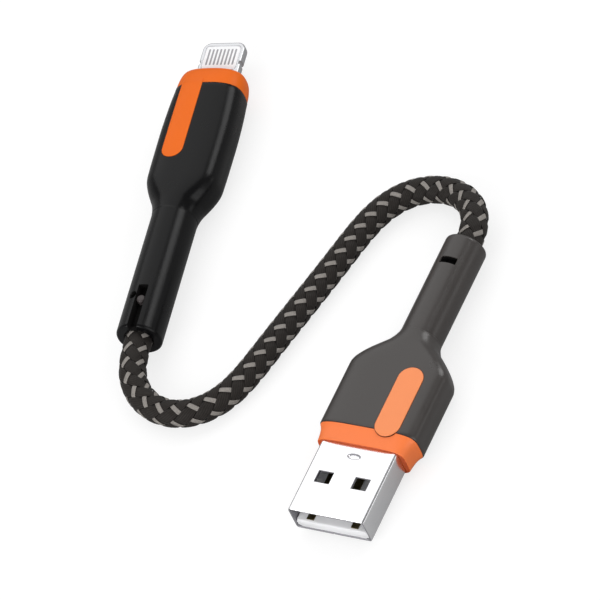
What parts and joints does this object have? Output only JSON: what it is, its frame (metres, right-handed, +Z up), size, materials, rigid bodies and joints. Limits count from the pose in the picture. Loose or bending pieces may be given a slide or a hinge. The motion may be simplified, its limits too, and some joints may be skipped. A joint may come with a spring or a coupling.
{
  "type": "charging cable",
  "caption": "Short flexible charging lead with a woven cord, a flat-shell charger plug at one end and a slim reversible phone plug at the other, for charging and data.",
  "frame": {"origin": "on the flat underside of the charger plug's cover, at floor level, on the plug's middle plane", "axes": "+Y runs from the charger plug's mouth towards its cord; +X is to the right when the plug is seen from above with its mouth nearest; +Z is up, normal to the floor that the cable lies on"},
  "size_m": [0.0637, 0.077, 0.0073],
  "materials": {
    "shell_steel": "bright plated sheet steel",
    "blade_metal": "bright polished metal",
    "inner_steel": "plain stamped steel",
    "white_plastic": "moulded",
    "contact_gold": "thin gold plate",
    "inner_plastic": "moulded, natural",
    "orange_collar": "smooth satin orange",
    "orange_badge": "smooth satin orange, a shade lighter",
    "charger_soft_touch": "warm dark grey, semi-matte",
    "phone_soft_touch": "neutral black, semi-matte",
    "grey_plastic": "grey moulded",
    "board": "green solder mask",
    "chip_black": "moulded epoxy",
    "ceramic": "fired ceramic",
    "woven_yarn": "tight nylon braid, black with grey flecks",
    "jacket_plastic": "extruded, matt",
    "wire_red": "extruded",
    "wire_white": "extruded",
    "wire_green": "extruded",
    "wire_black": "extruded"
  },
  "bodies": {
    "root": {"charger_shell": "shell_steel", "charger_tongue": "white_plastic", "contact_power": "contact_gold", "contact_data_minus": "contact_gold", "contact_data_plus": "contact_gold", "contact_ground": "contact_gold", "charger_inner_mould": "inner_plastic", "charger_collar": "orange_collar", "charger_cover": "charger_soft_touch", "charger_badge": "orange_badge", "charger_crimp": "inner_steel", "phone_blade": "blade_metal", "phone_insulator": "white_plastic", "phone_contacts": "contact_gold", "phone_board": "board", "phone_chip": "chip_black", "phone_capacitors": "ceramic", "phone_can": "inner_steel", "phone_inner_mould": "inner_plastic", "phone_collar": "orange_collar", "phone_cover": "phone_soft_touch", "phone_lock_pin": "grey_plastic", "phone_crimp": "inner_steel", "cord_braid": "woven_yarn", "cord_jacket": "jacket_plastic", "wire_power": "wire_red", "wire_data_minus": "wire_white", "wire_data_plus": "wire_green", "wire_ground": "wire_black"}
  },
  "joints": []
}
